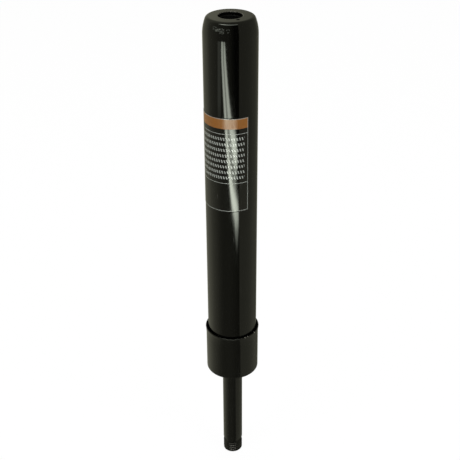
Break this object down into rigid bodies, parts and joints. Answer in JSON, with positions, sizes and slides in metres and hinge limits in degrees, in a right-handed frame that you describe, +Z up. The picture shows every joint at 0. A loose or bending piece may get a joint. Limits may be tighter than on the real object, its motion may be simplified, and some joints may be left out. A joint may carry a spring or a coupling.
{
  "type": "boat seat post",
  "caption": "Spring-cushioned boat seat post that swivels: black tube with a bore for a seat pin, in a collar cup on a threaded base pin.",
  "frame": {"origin": "centre of the collar's underside, the face that seats on the deck base, on the axis of the pin", "axes": "+Z up the axis of the post towards the seat, -Y towards the front"},
  "size_m": [0.0506, 0.0506, 0.458],
  "materials": {
    "tube_paint": "black, gloss",
    "collar_paint": "black, semi-gloss",
    "pin_paint": "black, semi-gloss, worn at the thread",
    "bright_steel": "turned",
    "spring_steel": "oiled, dark",
    "weld_metal": "as welded",
    "black_nylon": "moulded",
    "white_nylon": "turned",
    "black_rubber": "matt",
    "label_film": "printed, gloss"
  },
  "bodies": {
    "spindle": {"spindle_pin": "pin_paint", "collar_cup": "collar_paint", "seat_disc": "bright_steel", "seat_disc_weld": "weld_metal", "bump_ring": "black_rubber", "retaining_washer": "bright_steel", "retaining_clip": "spring_steel", "spring_seat": "bright_steel", "guide_ring": "white_nylon", "spring_seat_clip": "spring_steel", "compression_spring": "spring_steel"},
    "spring_top": {"spring_cap": "bright_steel", "thrust_washer": "white_nylon"},
    "post": {"pin_stop_disc": "bright_steel", "top_bush": "black_nylon", "post_tube": "tube_paint", "end_plug": "bright_steel", "end_plug_weld": "weld_metal", "lower_guide_bush": "white_nylon", "decal": "label_film"}
  },
  "joints": [
    {"name": "post_travel", "type": "slide", "parent": "spindle", "child": "spring_top", "axis": [0, 0, 1], "range_m": [-0.0254, 0], "stiffness_N_per_m": 42000, "springref_m": 0.01, "deforming": ["compression_spring"]},
    {"name": "post_swivel", "type": "hinge", "parent": "spring_top", "child": "post", "pos_m": [0, 0, 0.27], "axis": [0, 0, 1], "continuous": true}
  ]
}
